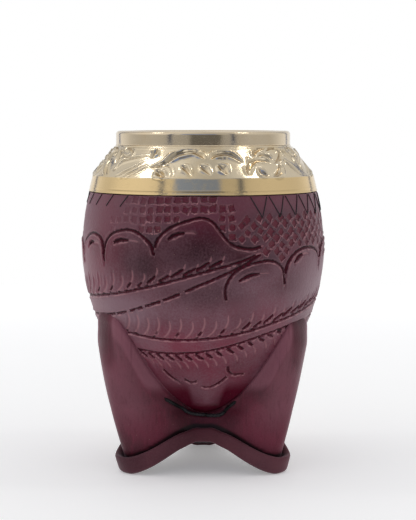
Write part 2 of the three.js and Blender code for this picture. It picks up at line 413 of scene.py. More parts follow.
def smooth(value, start, end):
    share = np.clip((value - start) / (end - start), 0, 1)
    return share * share * (3 - 2 * share)


def jacket_radius(height):
    """The jacket's outside before tooling."""
    return np.interp(height, outline[:, 1], outline[:, 0])


def laid(radius_at, way):
    """Points in space for a line of angles and heights on a turned surface."""
    return polar(radius_at(way[:, 1]), way[:, 0], way[:, 1])


def cut(radius_at, way, half_width, swell=None):
    """A cut's points and half widths; with a swell it is a comma, widest at that share of its length."""
    share = np.linspace(0, 1, len(way))
    if swell is None:
        width = np.minimum(1, 0.3 + np.minimum(share, 1 - share) / 0.05)
    else:
        width = np.where(share < swell, share / swell, (1 - share) / (1 - swell)) ** 0.4
    return laid(radius_at, way), half_width * np.maximum(width, 0.12)


def feather(way, wedge_half, end):
    """A deep wedge over the first share of a cut, which runs out into a fine line."""
    share = np.linspace(0, 1, len(way))
    wedge = np.sin(np.clip(share / end, 0, 1) * math.pi) ** 0.7
    fine = FINE_HALF * np.minimum(1, 0.4 + (1 - share) / 0.2)
    return laid(jacket_radius, way), fine + (wedge_half - FINE_HALF) * wedge


def leaf_cuts(turn):
    """Every knife cut of one leaf that starts at the given angle from the front."""
    cuts = []

    def plume(points, wedge_half, end):
        cuts.append(feather(flowing(points) + (turn, 0), wedge_half, end))

    upper = flowing(MIDRIB_UPPER, 60)
    lower = flowing(MIDRIB_LOWER, 60)

    def stretch(line, half_width, start=-HALF_TURN, end=2 * HALF_TURN, lead=1.0):
        part = line[(line[:, 0] >= start) & (line[:, 0] <= end)]
        points, widths = cut(jacket_radius, part + (turn, 0), half_width)
        cuts.append((points, widths * np.linspace(lead, 1, len(widths))))

    stretch(upper, MIDRIB_HALF)
    stretch(lower, MIDRIB_HALF, end=WHOLE_END)
    for start in DASHES:
        stretch(lower, DASH_HALF, start, start + DASH_LENGTH, 0.8)
    stretch(lower, TIP_HALF, TIP_START)
    for scallop in SCALLOPS:
        way = flowing(scallop) + (turn, 0)
        ends = np.abs(np.linspace(-1, 1, len(way)))
        points, widths = cut(jacket_radius, way, SCALLOP_HALF)
        cuts.append((points, widths * (0.83 + 0.2 * ends)))
    for start, end in SCALLOP_NICKS:
        middle = ((start[0] + end[0]) / 2 - 1, (start[1] + end[1]) / 2 + 0.7)
        plume([start, middle, end, (end[0] + 3, end[1] - 0.3)], NICK_HALF, 0.55)
    for step, base in enumerate(FEATHERS):
        lean = np.interp(base, FEATHER_PLACES, FEATHER_LEAN)
        wobble = math.sin(3 * step)
        foot = np.interp(base, upper[:, 0], upper[:, 1]) + 0.75 + 0.35 * lean + 0.15 * wobble
        tall = (6.6 - 2.2 * lean) * (1 + 0.1 * wobble)
        plume([
            (base, foot),
            (base + 2.4 + 2.1 * lean, foot + (0.24 + 0.18 * lean) * tall),
            (base + 3.9 + 2.9 * lean, foot + (0.58 + 0.1 * lean) * tall),
            (base + 3.7 + 3.6 * lean, foot + tall),
        ], 0.5 + 0.25 * lean + 0.06 * wobble * (1 - lean), 0.4 + 0.2 * lean)
    for step, base in enumerate(LOWER_FEATHERS):
        foot = np.interp(base, lower[:, 0], lower[:, 1]) - 0.6
        lean = smooth(base, 5, 60)
        long = 4.6 + 0.6 * math.sin(2 * step)
        fall = 1.9 - 1.6 * lean
        plume([
            (base, foot),
            (base + 0.5 * long, foot - 0.5 * fall),
            (base + long, foot - fall - 0.2),
            (base + long + 2.2, foot - fall - 1.7),
            (base + long + 3, foot - fall - 3.2),
        ], LOWER_HALF, 0.5)
    return cuts


def line_object(name, lines):
    """A curve object of tooling lines, with each point's half width as its radius."""
    curve = bpy.data.curves.new(name, "CURVE")
    curve.dimensions = "3D"
    for points, widths in lines:
        spline = curve.splines.new("POLY")
        spline.points.add(len(points) - 1)
        spline.points.foreach_set("co", np.column_stack([points * MM, np.ones(len(points))]).ravel())
        spline.points.foreach_set("radius", widths * MM)
    return place(name, curve)


def wires(tree, sockets):
    return {socket.name: Wire(tree, socket) for socket in sockets}


def new_group(kind, name, inputs, outputs):
    """An empty node group, its named inputs as wires and its output node."""
    tree = bpy.data.node_groups.new(name, kind)
    for way, sockets in (("INPUT", inputs), ("OUTPUT", outputs)):
        for socket, sort in sockets.items():
            tree.interface.new_socket(socket, in_out=way, socket_type="NodeSocket" + sort)
    return tree, wires(tree, put(tree, "NodeGroupInput").outputs), put(tree, "NodeGroupOutput")


def geometry_group(name, inputs):
    shape = {"Geometry": "Geometry"}
    return new_group("GeometryNodeTree", name, {**shape, **inputs, "Material": "Material"}, shape)


def most(first, second):
    return calc("MAXIMUM", first, second)


def least(first, second):
    return calc("MINIMUM", first, second)


def vector(operation, *values):
    out = "Value" if operation in ("LENGTH", "DOT_PRODUCT") else "Vector"
    return add(tree_of(values), "ShaderNodeVectorMath", dict(enumerate(values)), out, operation=operation)


def sampled(source, value, index, data_type):
    """A value read at one point of another geometry."""
    inputs = {"Geometry": source, "Value": value, "Index": index}
    return add(source.tree, "GeometryNodeSampleIndex", inputs, data_type=data_type)


def nearest_in(points):
    """Which of some points is nearest, and the way from there to here."""
    here = add(points.tree, "GeometryNodeInputPosition")
    nearest = add(points.tree, "GeometryNodeSampleNearest", {"Geometry": points}, domain="POINT")
    return nearest, vector("SUBTRACT", here, sampled(points, here, nearest, "FLOAT_VECTOR"))


def kept(geometry, values):
    """Stores named values on the points for the material to read."""
    for name, value in values.items():
        inputs = {"Geometry": geometry, "Name": name, "Value": value}
        geometry = add(geometry.tree, "GeometryNodeStoreNamedAttribute", inputs, data_type="FLOAT")
    return geometry


def pushed(geometry, lift):
    """Moves each point along its normal."""
    shift = vector("MULTIPLY", add(geometry.tree, "GeometryNodeInputNormal"), lift)
    return add(geometry.tree, "GeometryNodeSetPosition", {"Geometry": geometry, "Offset": shift})


def finished(geometry, look, end):
    """Every tree ends here: instances are made real and get their material."""
    real = add(geometry.tree, "GeometryNodeRealizeInstances", {"Geometry": geometry})
    faced = add(geometry.tree, "GeometryNodeSetMaterial", {"Geometry": real, "Material": look})
    join(end, {"Geometry": faced})


def knife_nodes():
    """Cuts a surface along tooling lines: a groove with a lip pushed up beside it.

    The half width, how far a point lies below the line and the square of its distance, both in half widths,
    are kept for the material; unlike the plain distance the square stays true between the mesh's points.
    """
    sizes = dict.fromkeys(("Spacing", "Least Half Width", "Depth", "Lip"), "Float")
    tree, start, end = geometry_group("knife_cuts", {"Lines": "Object", **sizes})
    lines = add(tree, "GeometryNodeObjectInfo", {"Object": start["Lines"]}, "Geometry")
    way = {"Curve": lines, "Length": start["Spacing"]}
    points = add(tree, "GeometryNodeCurveToPoints", way, "Points", mode="LENGTH")
    nearest, offset = nearest_in(points)
    half = sampled(points, add(tree, "GeometryNodeInputRadius"), nearest, "FLOAT")
    distance = vector("LENGTH", offset)
    low = vector("DOT_PRODUCT", offset, (0, 0, -1)) / half
    away = distance / most(half, start["Least Half Width"])
    groove = ease(away, 1.0, 0.0)
    lip = ease(away, 0.8, 1.25) * ease(away, 2.3, 1.25)
    named = kept(start["Geometry"], {
        "cut_squared": least(calc("POWER", distance / half, 2.0), 16.0),
        "cut_half": half,
        "cut_low": most(least(low, 4.0), -4.0),
    })
    lift = (lip * start["Lip"] - groove * start["Depth"]) * half
    finished(pushed(named, lift), start["Material"], end)
    return tree


def punch_nodes():
    """Presses a square pit round each mark, turned as the mark says, and sinks the ground between."""
    sizes = dict.fromkeys(("Depth", "Rim", "Sink"), "Float")
    tree, start, end = geometry_group("punched_ground", {"Marks": "Object", **sizes})
    marks = add(tree, "GeometryNodeObjectInfo", {"Object": start["Marks"]}, "Geometry")
    nearest, away = nearest_in(marks)

    def read(name):
        return add(tree, "GeometryNodeInputNamedAttribute", {"Name": name}, data_type="FLOAT")

    names = ("turn", "half", "weight")
    turn, half, weight = (sampled(marks, read(name), nearest, "FLOAT") for name in names)
    here = add(tree, "GeometryNodeInputPosition")
    level = vector("NORMALIZE", vector("CROSS_PRODUCT", (0, 0, 1), here))
    across = vector("DOT_PRODUCT", away, level)
    rest = vector("LENGTH", vector("SUBTRACT", away, vector("MULTIPLY", level, across)))
    up = calc("SIGN", vector("DOT_PRODUCT", away, (0, 0, 1))) * rest
    cosine, sine = calc("COSINE", turn), calc("SINE", turn)
    first = calc("ABSOLUTE", across * cosine - up * sine)
    second = calc("ABSOLUTE", across * sine + up * cosine)
    half = most(half, 1e-6)
    share = most(first, second) / half
    pit = ease(share, 1.2, 0.7)
    rim = ease(share, 0.95, 1.25) * ease(share, 1.6, 1.25)
    lift = (rim * start["Rim"] - pit * start["Depth"]) * weight - read("ground") * start["Sink"]
    named = kept(start["Geometry"], {
        "pit": least(share, 4.0),
        "pit_weight": weight,
        "pit_low": least(up / half * -1.0, 4.0),
    })
    finished(pushed(named, lift), start["Material"], end)
    return tree


def run_nodes(piece, tree, values):
    """Puts a node tree on a piece; each named input is set by its socket's identifier."""
    modifier = piece.modifiers.new(tree.name, "NODES")
    modifier.node_group = tree
    for item in tree.interface.items_tree:
        if item.in_out == "INPUT" and item.name in values:
            modifier[item.identifier] = values[item.name]


def settled(name, source, *helpers):
    """The plain mesh that a piece's node trees make; the source and its helpers go."""
    graph = bpy.context.evaluated_depsgraph_get()
    mesh = bpy.data.meshes.new_from_object(
        source.evaluated_get(graph), preserve_all_data_layers=True, depsgraph=graph
    )
    for spent in (source, *helpers):
        bpy.data.objects.remove(spent)
    return place(name, mesh)


def scallop_edge(angle):
    """Height of the leaves' scalloped edge, with the ground above it."""
    edge = np.vstack([flowing(scallop) for scallop in SCALLOPS])
    edge = edge[edge[:, 0] >= EDGE_START]
    order = np.argsort(edge[:, 0], kind="stable")
    return np.interp((angle - EDGE_START) % HALF_TURN + EDGE_START, edge[order, 0], edge[order, 1])


def wrapped(angle, step):
    """An angle from the nearest of the places that lie a step apart."""
    return (angle + step / 2) % step - step / 2


def notch_angle(angle):
    """Angle to the middle of the nearest notch, without its sign."""
    return np.abs(wrapped(angle, NOTCH_STEP))


def hill(across, up):
    return np.exp(-(across**2) - up**2)


def hollow(angle, height):
    """Each notch has a fold in its middle, between two dips where the skirt is drawn tight."""
    side = notch_angle(angle - FOLD_TURN)
    fold = FOLD_PROUD * hill(side / 8, (height - FOLD_HEIGHT) / 4.2)
    return fold - DIP_DEPTH * hill((side - DIP_ANGLE) / 8.5, (height - DIP_HEIGHT) / 4.8)


def clouded(clouds, angle, height):
    """The strongest of some soft clouds at each point; both halves of the jacket have the same ones."""
    total = 0
    for middle, level, wide, tall, share in clouds:
        away = wrapped(angle - middle, HALF_TURN)
        total = np.maximum(total, share * hill(away / wide, (height - level) / tall))
    return total


def punch_marks():
    """Places of the square punch: upright rows on one side of a leaf's tip, slanted ones on the other."""
    rng = np.random.default_rng(7)
    marks = []

    def press(angle, height, turn):
        """One blow of the punch; blows get lighter away from the leaf's tip."""
        local = angle % HALF_TURN
        laced = LACED_START < local < LACED_END and height > LACED_HEIGHT
        if laced or not scallop_edge(angle) + 1.7 < height < ledge - 0.9:
            return
        jitter = rng.normal(0, 0.18, 2)
        half = rng.uniform(1.02, 1.3)
        tip_angle = wrapped(angle, HALF_TURN)
        weight = 0.2 + 0.8 * smooth(tip_angle, -44, -14) * smooth(tip_angle, 95, 50)
        marks.append((angle + jitter[0], height + jitter[1], turn + rng.normal(0, 0.12), half, weight))

    degree = math.radians(belly_radius)
    slanted = SLANTED_PITCH / math.sqrt(2)
    for leaf in range(LEAF_COUNT):
        front = leaf * HALF_TURN
        for row in range(-4, 9):
            for column in range(-11, 4):
                angle = UPRIGHT_MIDDLE[0] + column * UPRIGHT_PITCH / degree
                height = UPRIGHT_MIDDLE[1] + row * UPRIGHT_PITCH + 0.02 * angle
                press(front + angle, height, 0.05)
        for first in range(-40, 40):
            for second in range(-40, 40):
                angle = SLANTED_MIDDLE[0] + (first - second) * slanted / degree
                height = SLANTED_MIDDLE[1] + (first + second) * slanted
                if SLANTED_REACH[0] < angle < SLANTED_REACH[1]:
                    press(front + angle, height, math.pi / 4)
    return np.array(marks)


def mark(mesh, name, values):
    mesh.attributes.new(name, "FLOAT", "POINT").data.foreach_set("value", values)


def mark_object(name, marks):
    mesh = bpy.data.meshes.new(name)
    mesh.from_pydata((laid(jacket_radius, marks) * MM).tolist(), [], [])
    for key, values in {"turn": marks[:, 2], "half": marks[:, 3] * MM, "weight": marks[:, 4]}.items():
        mark(mesh, key, values)
    return place(name, mesh)


def corners_of(piece):
    """Angle, radius and height of each of a piece's corners."""
    corners = np.empty(3 * len(piece.data.vertices))
    piece.data.vertices.foreach_get("co", corners)
    x, y, z = corners.reshape(-1, 3).T / MM
    return np.degrees(np.arctan2(x, -y)), np.hypot(x, y), z


def even(points, spacing):
    """The same line with its points at an even spacing."""
    steps = np.linalg.norm(np.diff(points, axis=0), axis=1)
    run = np.concatenate([[0], np.cumsum(steps)])
    places = np.linspace(0, run[-1], round(run[-1] / spacing) + 1)
    return np.stack([np.interp(places, run, column) for column in points.T], axis=1)


def jacket_blank():
    """The jacket before tooling, with its ground and its painted shade and painted sheen marked on it."""
    hidden = outline[:, 1] <= HIDDEN_TIP
    upper = outline[:, 1] > GROUND_START
    leaves = even(outline[~hidden & ~upper], LEAF_SPACING)
    outer = np.vstack([outline[hidden][::6], leaves, even(outline[upper], GROUND_SPACING)])
    profile = np.vstack([
        outer,
        [
            (neck_radius(ledge), ledge),
            (neck_radius(neck_end), neck_end),
            (neck_radius(neck_end) - JACKET_WALL, neck_end),
            (neck_radius(neck_start) - JACKET_WALL, neck_start),
        ],
        inset(outline, JACKET_WALL)[::-14],
        [(0, tip + JACKET_WALL)],
    ])
    angles = all_round(JACKET_COLUMNS)
    radius = np.repeat(profile[None, :, 0], JACKET_COLUMNS, axis=0)
    radius[:, : len(outer)] += hollow(angles, outer[:, 1]) * smooth(outer[:, 0], 4, 12)
    blank = ring_of("jacket_blank", polar(radius, angles, profile[:, 1]), closed=False)
    angle, radius, z = corners_of(blank)
    # Painted shade low down: a little all round, more beside each notch's fold, and all under the round
    # bottom
    beside_fold = smooth(notch_angle(angle - FOLD_TURN), 9, 18) * smooth(z, 36, 28.5)
    low_down = 0.25 * smooth(z, 46, 38)
    outside = radius > jacket_radius(z) - JACKET_WALL
    for name, values in {
        "ground": smooth(z - scallop_edge(angle), 0, 0.8) * (z < ledge + 0.1),
        "shade_clouds": clouded(SHADE_CLOUDS, angle, z),
        "sheen_clouds": clouded(SHEEN_CLOUDS, angle, z),
        "low_shade": np.maximum.reduce([low_down, beside_fold, smooth(z, 25.8, 23)]),
    }.items():
        mark(blank.data, name, values * outside)
    return blank


def shader_group(name, inputs, outputs):
    floats = (dict.fromkeys(names, "Float") for names in (inputs, outputs))
    return new_group("ShaderNodeTree", name, *floats)


def grain_group():
    """Dye clouds, a waxy film, pores and dust specks, as cowhide shows them close to."""
    sizes, masks = ("Cloud Size", "Pore Size"), ("Cloud", "Film", "Pores", "Speck")
    tree, start, end = shader_group("cowhide_grain", sizes, masks)
    cloud, pore = (start[size] for size in sizes)
    where = object_place(tree)
    cells = add(tree, "ShaderNodeTexVoronoi", {"Vector": where, "Scale": 1 / MM / pore}, "Distance")
    broad = noise(where, cloud / 1.4, 3.0, 0.5) * 0.6
    sand = noise(where, pore / 1.2, 3.0, 0.6) * 0.4
    join(end, {
        "Cloud": ease(noise(where, cloud, 4.0, 0.5), 0.32, 0.68),
        "Film": ease(broad + sand, 0.36, 0.64),
        "Pores": cells * 0.5 + noise(where, pore / 0.7, 4.0, 0.6),
        "Speck": ease(noise(where, pore / 0.8, 2.0, 0.5), 0.735, 0.78),
    })
    return tree


def shared(tree, group, inputs):
    """The outputs of a node group that several materials use."""
    return wires(tree, put(tree, "ShaderNodeGroup", inputs, node_tree=group).outputs)


def attribute(tree, name):
    return add(tree, "ShaderNodeAttribute", out="Fac", attribute_name=name)


def cut_distance(tree):
    return calc("SQRT", attribute(tree, "cut_squared"))


cowhide = grain_group()
HIDE_SHEEN = {"Sheen Weight": 0.16, "Sheen Roughness": 0.45, "Sheen Tint": (0.85, 0.62, 0.7, 1)}


def jacket_look():
    look, tree, shader = new_look("tooled_burgundy_leather")
    grain = shared(tree, cowhide, {"Cloud Size": 24.0, "Pore Size": 0.75})
    ground, low_shade = attribute(tree, "ground"), attribute(tree, "low_shade")
    where = object_place(tree)
    ragged = ease(noise(where, 1.1, 3.0, 0.6), 0.25, 0.75, -0.22, 0.22)
    torn = ease(noise(where, 2.2, 2.0, 0.5), 0.38, 0.6, 0.3, 1.0)

    # Painted shade in deep cuts, darkest on the upper wall; painted highlights on the lip below and on fine
    # cuts
    cuts = cut_distance(tree) + ragged
    below = attribute(tree, "cut_low")
    fine = ease(attribute(tree, "cut_half"), 0.58 * MM, 0.47 * MM)
    lip = ease(cuts, 0.85, 1.15) * ease(cuts, 1.9, 1.3) * ease(fine, 0.0, 1.0, 1.0, 0.15)
    lip = lip * ease(below, -0.2, 1.0, 0.2, 1.0) * torn
    deep = ease(cuts, 1.0, 0.45) * ease(fine, 0.0, 1.0, 0.95, 0.0)
    pale = ease(cut_distance(tree), 1.2, 0.2) * fine
    pits = attribute(tree, "pit") + ragged
    weight = attribute(tree, "pit_weight")
    pit = ease(pits, 1.02, 0.8) * weight
    rim = ease(pits, 0.95, 1.08) * ease(pits, 1.3, 1.12)

    # Burgundy leather, then a painted sheen, clouds of painted shade and painted shade low down over it
    colour = tint(grain["Cloud"], (0.09, 0.0095, 0.0235), (0.17, 0.0135, 0.038))
    film_and_sheen = least(grain["Film"] * 0.6 + attribute(tree, "sheen_clouds"), 1.0)
    colour = tint(film_and_sheen, colour, (0.196, 0.097, 0.123))
    black = attribute(tree, "shade_clouds")
    cloud_shade = black * ease(grain["Film"], 0.0, 1.0, 1.0, 0.7)
    colour = tint(cloud_shade * 0.95, colour, (0.018, 0.006, 0.0095))
    colour = tint(low_shade * 0.8, colour, (0.07, 0.0019, 0.0105))

    # The punched ground is painted slate where the clouds of painted shade reach it
    slate = ease(black, 0.1, 0.4)
    between = tint(slate, (0.145, 0.044, 0.064), (0.068, 0.036, 0.048))
    colour = tint(ground * 0.6, colour, between)
    pressed = tint(slate, (0.105, 0.003, 0.0155), (0.135, 0.012, 0.027))
    colour = tint(pit * 0.8, colour, pressed)
    # Painted highlight on each pit's lower rim and on the lip below each cut
    rim_highlight = rim * ease(attribute(tree, "pit_low"), 0.0, 0.7, 0.2, 1.0) * torn
    bright = lip * ease(ground, 0.0, 1.0, 0.75, 0.45) + rim_highlight * ease(weight, 0.0, 1.0, 0.4, 1.0)
    colour = tint(most(bright, pale * 0.6), colour, (0.42, 0.185, 0.205))
    shaded_core = tint(ease(below, -0.45, 0.5), (0.011, 0.0008, 0.0024), (0.078, 0.003, 0.013))
    colour = tint(deep, colour, shaded_core)
    dull = most(deep * 0.3, cloud_shade * 0.2)
    join(shader, {
        **HIDE_SHEEN,
        "Base Color": tint(grain["Speck"] * 0.6, colour, (0.3, 0.19, 0.14)),
        "Roughness": ease(grain["Film"], 0.0, 1.0, 0.34, 0.48) - pit * 0.08 - (rim + lip) * 0.1,
        "Specular IOR Level": 0.36 - most(dull, low_shade * 0.36),
        "Sheen Weight": most(1.0 - low_shade, 0.0) * HIDE_SHEEN["Sheen Weight"],
        "Normal": bump(grain["Pores"] * 0.22 - deep - pit + (lip + pale) * 0.35, 0.3),
    })
    return look


tooling = [line for leaf in range(LEAF_COUNT) for line in leaf_cuts(leaf * HALF_TURN)]
for turn in NOTCH_ANGLES:
    for points in NOTCH_ARCS:
        tooling.append(cut(jacket_radius, flowing(points) + (turn, 0), ARC_HALF))
knife_lines = line_object("knife_lines", tooling)
punch_places = mark_object("punch_places", punch_marks())
knife, punch = knife_nodes(), punch_nodes()
leather = jacket_look()
blank = jacket_blank()
run_nodes(blank, knife, {
    "Lines": knife_lines, "Spacing": 0.12 * MM, "Least Half Width": 0.7 * MM,
    "Depth": 0.8, "Lip": 0.3, "Material": leather,
})
run_nodes(blank, punch, {
    "Marks": punch_places, "Depth": 0.42 * MM, "Rim": 0.1 * MM, "Sink": GROUND_SINK * MM,
    "Material": leather,
})
jacket = settled("tooled_jacket", blank, knife_lines, punch_places)
hand_over(jacket, leather, "leather_jacket")

# Neck lacing
# A thin waxed black thread sews the jacket's top edge tight under the collar, in two runs of V shapes.
# Each V starts under the collar's edge and goes through a hole at its lower point.
LACE_THREAD = 0.3
LACE_TWIST = 2.6
LACE_START = 22.5
LACE_PITCH = 10.2
LACE_WIDTH = 9.4
LACE_COUNT = 10
LACE_LEFT = 198
THREAD_STEP = 0.22


def axes(where):
    split = put(where.tree, "ShaderNodeSeparateXYZ", {0: where})
    return [Wire(where.tree, socket) for socket in split.outputs]


def thread_nodes():
    """Sweeps a plied thread along a curve: three strands twisted together."""
    tree, start, end = geometry_group("plied_thread", dict.fromkeys(("Radius", "Step", "Twist"), "Float"))
    way = {"Curve": start["Geometry"], "Length": start["Step"]}
    way = add(tree, "GeometryNodeResampleCurve", way, mode="LENGTH")
    tilt = add(tree, "GeometryNodeSplineParameter", out="Length") * start["Twist"]
    way = add(tree, "GeometryNodeSetCurveTilt", {"Curve": way, "Tilt": tilt})
    circle = {"Resolution": 12, "Radius": start["Radius"]}
    section = add(tree, "GeometryNodeCurvePrimitiveCircle", circle)
    here = add(tree, "GeometryNodeInputPosition")
    x, y, _ = axes(here)
    lobes = calc("COSINE", calc("ARCTAN2", y, x) * 3.0) * 0.16
    lobed = {"Geometry": section, "Offset": vector("MULTIPLY", here, lobes)}
    section = add(tree, "GeometryNodeSetPosition", lobed)
    sweep = {"Curve": way, "Profile Curve": section, "Fill Caps": True}
    thread = add(tree, "GeometryNodeCurveToMesh", sweep)
    thread = add(tree, "GeometryNodeSetShadeSmooth", {"Geometry": thread})
    finished(thread, start["Material"], end)
    return tree


def thread_look():
    look, tree, shader = new_look("waxed_black_thread")
    fuzz = noise(object_place(tree), 0.3, 3.0, 0.6)
    colour = tint(ease(fuzz, 0.35, 0.7), (0.009, 0.0085, 0.0095), (0.034, 0.032, 0.035))
    join(shader, {
        # Painted shade on the thread where it goes into a hole
        "Base Color": tint(attribute(tree, "shade_and_sheen"), colour, (0.0015, 0.0013, 0.0015)),
        "Roughness": ease(fuzz, 0.3, 0.7, 0.42, 0.68),
        "Specular IOR Level": 0.25,
        "Normal": bump(fuzz, 0.08),
    })
    return look


def sewn(name, points, thread, twist):
    """A thread along points in millimetres; a curve radius of 1 leaves the tree's Radius as it is."""
    way = line_object(name + "_way", [(points, np.full(len(points), 1 / MM))])
    run_nodes(way, ply, {
        "Radius": thread / 2 * MM, "Step": THREAD_STEP * MM, "Twist": twist / MM, "Material": thread_finish,
    })
    return settled(name, way)


def lace_way(turn, drop, apex, under):
    """Straight legs to each hole and back, half sunk in the leather; the way down can lie under it."""
    spots = []
    for number in range(LACE_COUNT):
        left = LACE_START + number * LACE_PITCH + turn
        hole = left + LACE_WIDTH * apex
        spots += [(left, 0, under), (hole, 0.97, under), (hole, 1, 0), (left + LACE_WIDTH, 0, 0)]
    spots = np.array(spots, float)
    fine = np.linspace(0, len(spots) - 1, (len(spots) - 1) * 14 + 1)
    angle, down, below = (np.interp(fine, np.arange(len(spots)), column) for column in spots.T)
    height = ledge - 0.1 - drop * down
    sunk = smooth(down, 0.9, 1) * 0.5 + smooth(down, 0.05, 0) * 0.9 + below
    return polar(jacket_radius(height) - GROUND_SINK + LACE_THREAD * 0.3 - sunk, angle, height)


ply = thread_nodes()
thread_finish = thread_look()
for node, way in (
    ("neck_lace_right", lace_way(turn=0, drop=7.2, apex=0.6, under=0)),
    ("neck_lace_left", lace_way(turn=LACE_LEFT, drop=4.2, apex=0.48, under=0.9)),
):
    lace = sewn("sewn_" + node, way, LACE_THREAD, LACE_TWIST)
    hand_over(lace, thread_finish, node)

# Brass collar
# Sheet brass spun to fit the gourd's shoulder and pressed down over the jacket's neck.
# Its shoulder is chased by hand with scrolls and leaves, and the plain band below is polished.
SHOULDER_CROWN = 0.1
COLLAR_COLUMNS = 600
MOTIF_COUNT = 3
MOTIF_STEP = 360 / MOTIF_COUNT

# One length of the frieze: each stroke is its points, its half width and where it swells
CHASING = [
    ([(-29, 105), (-22, 106), (-18, 108), (-13.5, 109.5), (-6.5, 110.2), (-1.5, 109), (1, 107.7)],
     1.35, 0.55),
    ([(4.5, 107.6), (6, 108.7), (9.5, 109.4), (14, 109.4), (18.5, 108.2), (22.5, 106.4)], 1.35, 0.4),
    ([(-11.5, 105.7), (-8.7, 104.3), (-6, 102.3)], 1.05, 0.35),
    ([(-1.5, 105.7), (1.5, 104.2), (4, 102.5)], 1.05, 0.35),
    ([(8, 106), (10.5, 104.5), (13, 102.8)], 1.35, 0.45),
    ([(-25, 104.1), (-22, 102.9), (-19, 101.8)], 1.4, 0.35),
    ([(-31, 104.9), (-26, 104.9), (-18.6, 105.4), (-15.6, 103.3), (-15.8, 101.6)], 0.5, 0.5),
    ([(-57, 109.6), (-56, 110.8), (-50.5, 110.6), (-47, 109), (-49.5, 108), (-55, 108.6), (-57, 109.6)],
     0.7, 0.5),
    ([(-57, 106.2), (-56.5, 107.4), (-54.5, 108.4)], 0.6, 0.4),
    ([(-51, 101.6), (-42, 104), (-33, 107.2)], 0.6, 0.4),
    ([(-47, 101.2), (-39, 103.4), (-31, 106.3)], 0.55, 0.4),
    ([(-43, 101.4), (-36, 103.3), (-29.5, 105.7)], 0.55, 0.4),
    ([(-54.4, 103), (-52.7, 105.6), (-50, 106.8), (-41.5, 107.9), (-33, 108.6)], 0.75, 0.5),
    ([(-31, 107.8), (-30.3, 109.3), (-29.5, 110.8)], 1.2, 0.5),
    ([(23.6, 102.2), (24, 104.2), (26.5, 106), (31.6, 107.3), (37, 107), (40.5, 105.9)], 1.25, 0.5),
    ([(30, 107.9), (32, 109.6), (36.4, 110.8), (42, 111)], 1.1, 0.5),
    ([(41, 110), (46.5, 111), (52, 110.5), (52.8, 109.2), (48, 107.2), (42, 105.9)], 1.15, 0.5),
    ([(32.6, 108.3), (37.2, 109.1), (41, 108.1), (43, 107)], 1, 0.5),
    ([(31, 104.9), (31.7, 103.1), (34.5, 102.1)], 1.1, 0.5),
    ([(37.5, 102), (41.5, 102.6), (45.5, 104.5), (46.5, 106)], 1.1, 0.5),
    ([(56, 110.4), (60, 109), (62, 107.3), (62.5, 105.6)], 0.95, 0.4),
    ([(52.5, 107.3), (54.4, 105.1), (58, 103.2), (61, 102.1)], 0.95, 0.4),
]


def collar_side(band_in, top_in):
    """The collar's profile from its lower edge to the ring, moved in by the sheet's thickness."""
    edge = (collar_high[0] - band_in, collar_low[2])
    bend = np.array((collar_high[0] - BAND_TAPER - band_in, band_top))
    top = np.array((ring_high[0] - top_in, collar_high[2]))
    crown = (bend + top) / 2 + SHOULDER_CROWN
    return np.vstack([[edge], bezier([bend, crown, top], 40)])


def chasing_lines():
    outside = collar_side(0, 0)

    def radius_at(height):
        return np.interp(height, outside[:, 1], outside[:, 0])

    lines = []
    for motif in range(MOTIF_COUNT):
        for points, half_width, swell in CHASING:
            way = flowing(points) + (motif * MOTIF_STEP, 0)
            lines.append(cut(radius_at, way, half_width, swell))
    girth = np.linspace(0, 360, 721)
    for height, half_width in ((collar_low[2] + 0.75, 0.22), (collar_high[2] - 0.5, 0.3)):
        lines.append((polar(radius_at(height), girth, height), np.full(len(girth), half_width)))
    return lines


def brass_group():
    """Fine turning lines, soft tarnish and rubbed spots of hand-polished brass."""
    tree, start, end = shader_group("polished_brass", ("Line Size",), ("Lines", "Tarnish", "Rub"))
    where = object_place(tree)
    join(end, {
        "Lines": noise(stretched(tree, (0.03, 0.03, 1)), start["Line Size"], 4.0, 0.7),
        "Tarnish": ease(noise(where, 9, 4.0, 0.6), 0.45, 0.75),
        "Rub": ease(noise(where, 2.2, 5.0, 0.65), 0.4, 0.75),
    })
    return tree


brass = brass_group()


def brass_look(name, bright, warm, chased):
    look, tree, shader = new_look(name)
    wear = shared(tree, brass, {"Line Size": 0.35})
    where = object_place(tree)
    band = ease(axes(where)[2], (band_top + 0.3) * MM, (band_top - 0.3) * MM, 0.0, 0.8)
    colour = tint(most(band, wear["Tarnish"] * 0.4), bright, warm)
    rough = ease(wear["Rub"], 0.0, 1.0, 0.13, 0.22)
    height = wear["Lines"] * 0.5
    if chased:
        groove = ease(cut_distance(tree), 0.7, 0.1)
        colour = tint(groove * 0.55, colour, (0.3, 0.19, 0.08))
        rough = rough + groove * 0.08
        dents = noise(where, 6.5, 1.0, 0.4) * (9.0 - band * 8.0)
        height = height + wear["Rub"] * 0.4 + dents
    join(shader, {"Metallic": 1.0, "Base Color": colour, "Roughness": rough, "Normal": bump(height, 0.016)})
    return look


collar_finish = brass_look("chased_brass", (0.74, 0.63, 0.46), (0.78, 0.56, 0.26), True)
inner_side = collar_side(COLLAR_SHEET, RING_WALL)
collar_outside = collar_side(0, 0)
collar_profile = np.vstack([
    even(collar_outside[:2], 0.38)[:-1],
    even(collar_outside[1:], 0.34),
    inner_side[::-8],
    inner_side[:1],
])
chasing = line_object("chasing", chasing_lines())
blank = turned("collar_blank", collar_profile, COLLAR_COLUMNS, closed=True)
run_nodes(blank, knife, {
    "Lines": chasing, "Spacing": 0.15 * MM, "Least Half Width": 0.2 * MM,
    "Depth": 0.75, "Lip": 0.5, "Material": collar_finish,
})
collar = settled("chased_collar", blank, chasing)
hand_over(collar, collar_finish, "brass_collar")

# Mouth ring
# Turned from thicker brass: a rounded ring over the gourd's lip, with a sleeve down inside it.
# It is pressed on after the collar, and clamps the collar's upper edge.
RING_WEB = 1.2
RING_ROUND = 1.2
RING_RIDGE = 0.002
RING_COLUMNS = 240


def arc(centre, radius, start, end, steps=8):
    turn = np.radians(np.linspace(start, end, steps + 1))
    return np.column_stack([centre[0] + radius * np.cos(turn), centre[1] + radius * np.sin(turn)])


